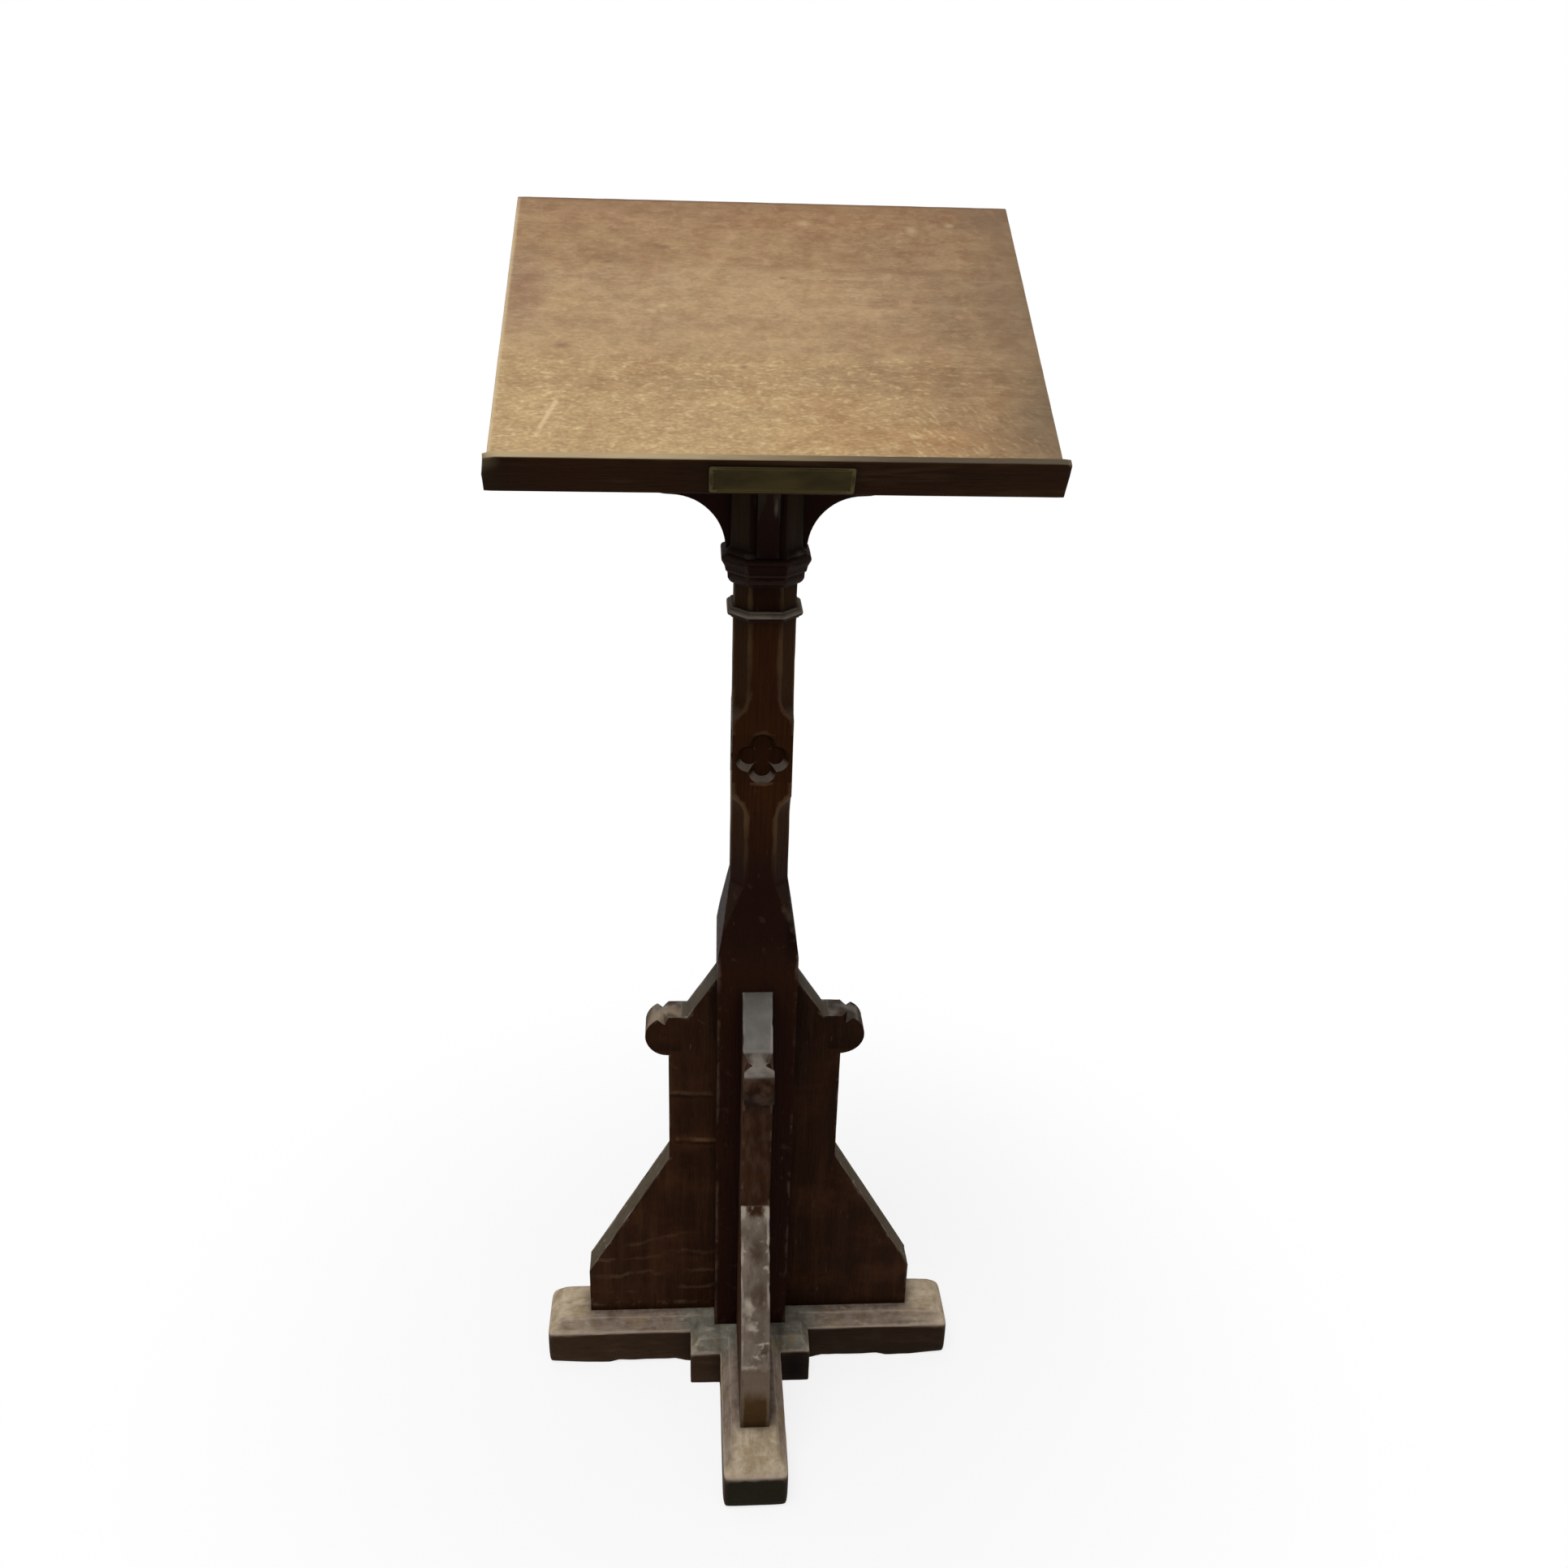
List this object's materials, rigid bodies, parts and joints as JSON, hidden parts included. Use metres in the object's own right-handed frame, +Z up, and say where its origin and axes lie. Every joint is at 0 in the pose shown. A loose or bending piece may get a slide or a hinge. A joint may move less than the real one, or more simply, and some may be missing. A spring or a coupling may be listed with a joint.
{
  "type": "floor-standing lectern",
  "caption": "Floor-standing gothic oak lectern: cross foot, buttressed post, chamfered shaft with capital, curved brackets and a sloping board with a book ledge.",
  "frame": {"origin": "on the floor, at the middle of the foot, under the post's axis", "axes": "+Z up the post; the reader stands at -Y and faces +Y; +X is to the reader's right"},
  "size_m": [0.47, 0.47, 1.2639],
  "materials": {
    "worn_foot_oak": "worn dull oak, pale where feet rub it",
    "post_oak": "dark waxed oak, low sheen",
    "buttress_oak": "dark waxed oak with pale worn arrises",
    "moulding_oak": "dark waxed oak, satin",
    "board_oak": "quarter-sawn oak, worn satin",
    "ledge_oak": "dark waxed oak, satin",
    "peg_oak": "bare oak pegs and wedges",
    "old_brass": "tarnished brass, dull",
    "screw_steel": "darkened steel"
  },
  "bodies": {
    "root": {"foot_beam_across": "worn_foot_oak", "foot_beam_along": "worn_foot_oak", "corner_block_front_left": "worn_foot_oak", "corner_block_front_right": "worn_foot_oak", "corner_block_back_left": "worn_foot_oak", "corner_block_back_right": "worn_foot_oak", "post": "post_oak", "buttress_left": "buttress_oak", "bracket_left": "moulding_oak", "buttress_right": "buttress_oak", "bracket_right": "moulding_oak", "buttress_front": "buttress_oak", "bracket_front": "moulding_oak", "buttress_back": "buttress_oak", "bracket_back": "moulding_oak", "necking_ring": "moulding_oak", "capital": "moulding_oak", "head_block": "moulding_oak", "batten_left": "moulding_oak", "batten_right": "moulding_oak", "board_plank_lower": "board_oak", "board_plank_middle": "board_oak", "board_plank_upper": "board_oak", "book_ledge": "ledge_oak", "foot_wedges": "peg_oak", "head_wedge": "peg_oak", "bracket_dowels": "peg_oak", "ledge_dowels": "peg_oak", "name_plate": "old_brass", "plate_pins": "old_brass", "batten_screws": "screw_steel"}
  },
  "joints": []
}
